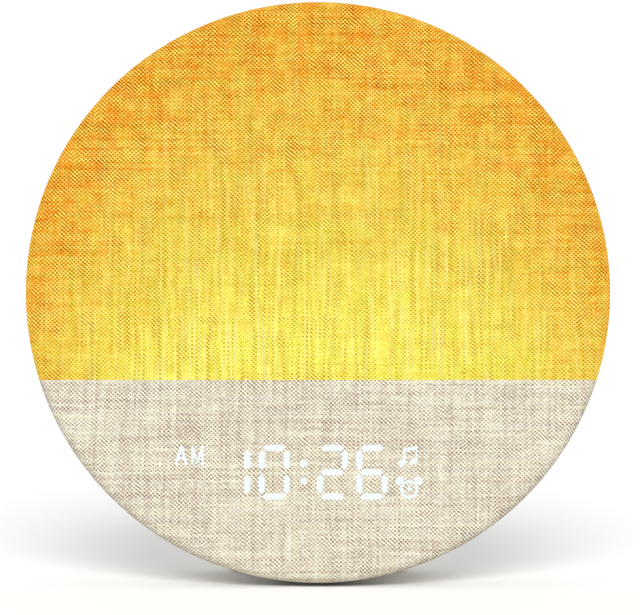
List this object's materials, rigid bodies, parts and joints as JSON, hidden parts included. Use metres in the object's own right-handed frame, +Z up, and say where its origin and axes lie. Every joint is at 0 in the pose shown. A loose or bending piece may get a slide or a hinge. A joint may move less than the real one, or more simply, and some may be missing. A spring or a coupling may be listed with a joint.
{
  "type": "sunrise alarm clock",
  "caption": "Round bedside sunrise alarm clock: linen face that glows above a horizon line, digital display below, rounded rear drum on a low foot.",
  "frame": {"origin": "centre of the rubber pad's underside, on the surface that the clock stands on", "axes": "+X to the right as the face is read, +Y from the face towards the back, +Z up"},
  "size_m": [0.186, 0.0812, 0.186],
  "materials": {
    "linen": "natural plain-weave linen",
    "opal": "translucent opal diffuser",
    "dark_mask": "opaque moulding",
    "frame_plastic": "moulded",
    "white_plastic": "white reflective moulding",
    "board": "circuit board laminate",
    "lamp": "lamp case",
    "segment": "clear filling",
    "casing_plastic": "fine matt texture",
    "key_plastic": "satin",
    "rubber": "matt",
    "steel": "zinc plated",
    "grille_metal": "powder coated",
    "dark_metal": "black pressed steel",
    "ferrite": "ferrite",
    "paper": null,
    "foam": "closed-cell foam",
    "copper": "wound copper wire",
    "black_plastic": "moulded",
    "can": "sleeved can",
    "cell_steel": "stainless cell",
    "lead": "insulated wire"
  },
  "bodies": {
    "clock": {"fabric_cover": "linen", "light_diffuser": "opal", "display_mask": "dark_mask", "front_frame": "frame_plastic", "light_divider": "white_plastic", "light_reflector": "white_plastic", "sunrise_led_board": "white_plastic", "sunrise_leds": "lamp", "display_housing": "white_plastic", "display_segments": "segment", "display_board": "board", "display_leds": "lamp", "display_screws": "steel", "rear_casing": "casing_plastic", "casing_screws": "steel", "base_pad": "rubber", "speaker_grille": "grille_metal", "speaker_gasket": "foam", "speaker_frame": "dark_metal", "speaker_surround": "rubber", "speaker_cone": "paper", "speaker_dust_cap": "paper", "voice_coil": "copper", "speaker_magnet": "ferrite", "speaker_poles": "steel", "speaker_screws": "steel", "main_board": "board", "board_chips": "black_plastic", "board_capacitors": "can", "board_connectors": "white_plastic", "board_screws": "steel", "power_inlet": "black_plastic", "cell_holder": "black_plastic", "coin_cell": "cell_steel", "battery_door": "casing_plastic", "battery_door_screw": "steel", "top_key_board": "board", "top_key_switches": "black_plastic", "rear_key_board": "board", "rear_key_switches": "black_plastic", "key_board_screws": "steel", "display_ribbon": "lead", "led_lead": "lead", "speaker_lead": "lead", "key_leads": "lead"},
    "snooze": {"snooze_key": "key_plastic"},
    "light": {"light_key": "key_plastic"},
    "sound": {"sound_key": "key_plastic"},
    "volume_up": {"volume_up_key": "key_plastic"},
    "volume_down": {"volume_down_key": "key_plastic"},
    "time": {"time_key": "key_plastic"},
    "alarm": {"alarm_key": "key_plastic"},
    "plus": {"plus_key": "key_plastic"},
    "minus": {"minus_key": "key_plastic"}
  },
  "joints": [
    {"name": "snooze_press", "type": "slide", "parent": "clock", "child": "snooze", "axis": [0, -0.1132, -0.9936], "range_m": [0, 0.0007], "stiffness_N_per_m": 1200, "springref_m": -0.0003},
    {"name": "light_press", "type": "slide", "parent": "clock", "child": "light", "axis": [0, -0.1132, -0.9936], "range_m": [0, 0.0007], "stiffness_N_per_m": 1200, "springref_m": -0.0003},
    {"name": "sound_press", "type": "slide", "parent": "clock", "child": "sound", "axis": [0, -0.1132, -0.9936], "range_m": [0, 0.0007], "stiffness_N_per_m": 1200, "springref_m": -0.0003},
    {"name": "volume_up_press", "type": "slide", "parent": "clock", "child": "volume_up", "axis": [0, -0.1132, -0.9936], "range_m": [0, 0.0007], "stiffness_N_per_m": 1200, "springref_m": -0.0003},
    {"name": "volume_down_press", "type": "slide", "parent": "clock", "child": "volume_down", "axis": [0, -0.1132, -0.9936], "range_m": [0, 0.0007], "stiffness_N_per_m": 1200, "springref_m": -0.0003},
    {"name": "time_press", "type": "slide", "parent": "clock", "child": "time", "axis": [0, -0.9936, 0.1132], "range_m": [0, 0.0007], "stiffness_N_per_m": 1200, "springref_m": -0.0003},
    {"name": "alarm_press", "type": "slide", "parent": "clock", "child": "alarm", "axis": [0, -0.9936, 0.1132], "range_m": [0, 0.0007], "stiffness_N_per_m": 1200, "springref_m": -0.0003},
    {"name": "plus_press", "type": "slide", "parent": "clock", "child": "plus", "axis": [0, -0.9936, 0.1132], "range_m": [0, 0.0007], "stiffness_N_per_m": 1200, "springref_m": -0.0003},
    {"name": "minus_press", "type": "slide", "parent": "clock", "child": "minus", "axis": [0, -0.9936, 0.1132], "range_m": [0, 0.0007], "stiffness_N_per_m": 1200, "springref_m": -0.0003}
  ]
}
